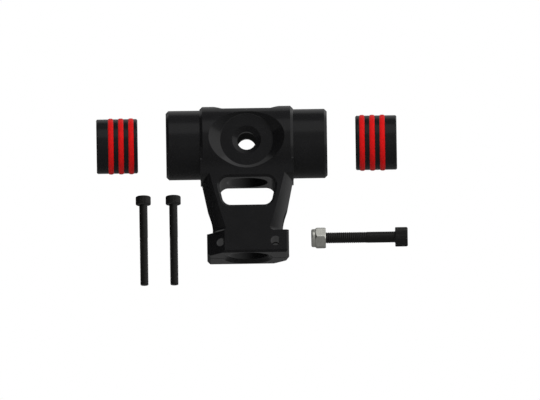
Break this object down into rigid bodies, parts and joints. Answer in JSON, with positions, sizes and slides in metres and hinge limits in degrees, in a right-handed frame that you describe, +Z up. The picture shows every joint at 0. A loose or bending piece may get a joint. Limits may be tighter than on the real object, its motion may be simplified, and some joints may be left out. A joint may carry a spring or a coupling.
{
  "type": "rotor hub",
  "caption": "Model helicopter rotor hub with cross tube, windowed web and split mast clamp, laid out with its grooved damper sleeves, rings, pinch screws, mast bolt and lock nut.",
  "frame": {"origin": "the point where the mast bolt's hole crosses the mast axis", "axes": "+Z up along the mast, +X along the cross tube to the right, -Y to the front"},
  "size_m": [0.1127, 0.0278, 0.0658],
  "materials": {
    "black_anodised_aluminium": "satin",
    "red_silicone": "smooth",
    "black_oxide_steel": "satin",
    "zinc_plated_steel": "satin",
    "nylon": "matte"
  },
  "bodies": {
    "hub": {"centre_hub": "black_anodised_aluminium"},
    "left_damper": {"left_damper_sleeve": "black_anodised_aluminium", "left_o_ring_inner": "red_silicone", "left_o_ring_middle": "red_silicone", "left_o_ring_outer": "red_silicone"},
    "right_damper": {"right_damper_sleeve": "black_anodised_aluminium", "right_o_ring_inner": "red_silicone", "right_o_ring_middle": "red_silicone", "right_o_ring_outer": "red_silicone"},
    "left_pinch_screw": {"left_pinch_screw": "black_oxide_steel"},
    "right_pinch_screw": {"right_pinch_screw": "black_oxide_steel"},
    "mast_bolt": {"mast_bolt": "black_oxide_steel"},
    "lock_nut": {"lock_nut": "zinc_plated_steel", "lock_nut_insert": "nylon"}
  },
  "joints": [
    {"name": "left_damper_slide", "type": "slide", "parent": "hub", "child": "left_damper", "axis": [1, 0, 0], "range_m": [0, 0.0253]},
    {"name": "right_damper_slide", "type": "slide", "parent": "hub", "child": "right_damper", "axis": [-1, 0, 0], "range_m": [0, 0.0253]},
    {"name": "left_pinch_screw_turn", "type": "hinge", "parent": "hub", "child": "left_pinch_screw", "pos_m": [-0.0379, 0, 0], "axis": [0, 0, -1], "continuous": true},
    {"name": "right_pinch_screw_turn", "type": "hinge", "parent": "hub", "child": "right_pinch_screw", "pos_m": [-0.027, 0, 0], "axis": [0, 0, -1], "continuous": true},
    {"name": "mast_bolt_turn", "type": "hinge", "parent": "hub", "child": "mast_bolt", "pos_m": [0.0535, 0, -0.0063], "axis": [-1, 0, 0], "range_deg": [0, 7560]},
    {"name": "lock_nut_travel", "type": "slide", "parent": "hub", "child": "lock_nut", "axis": [1, 0, 0], "range_m": [0, 0.0147]}
  ],
  "couplings": [
    {"joint": "mast_bolt_turn", "follows": "lock_nut_travel", "rad_per_m": 8976}
  ]
}
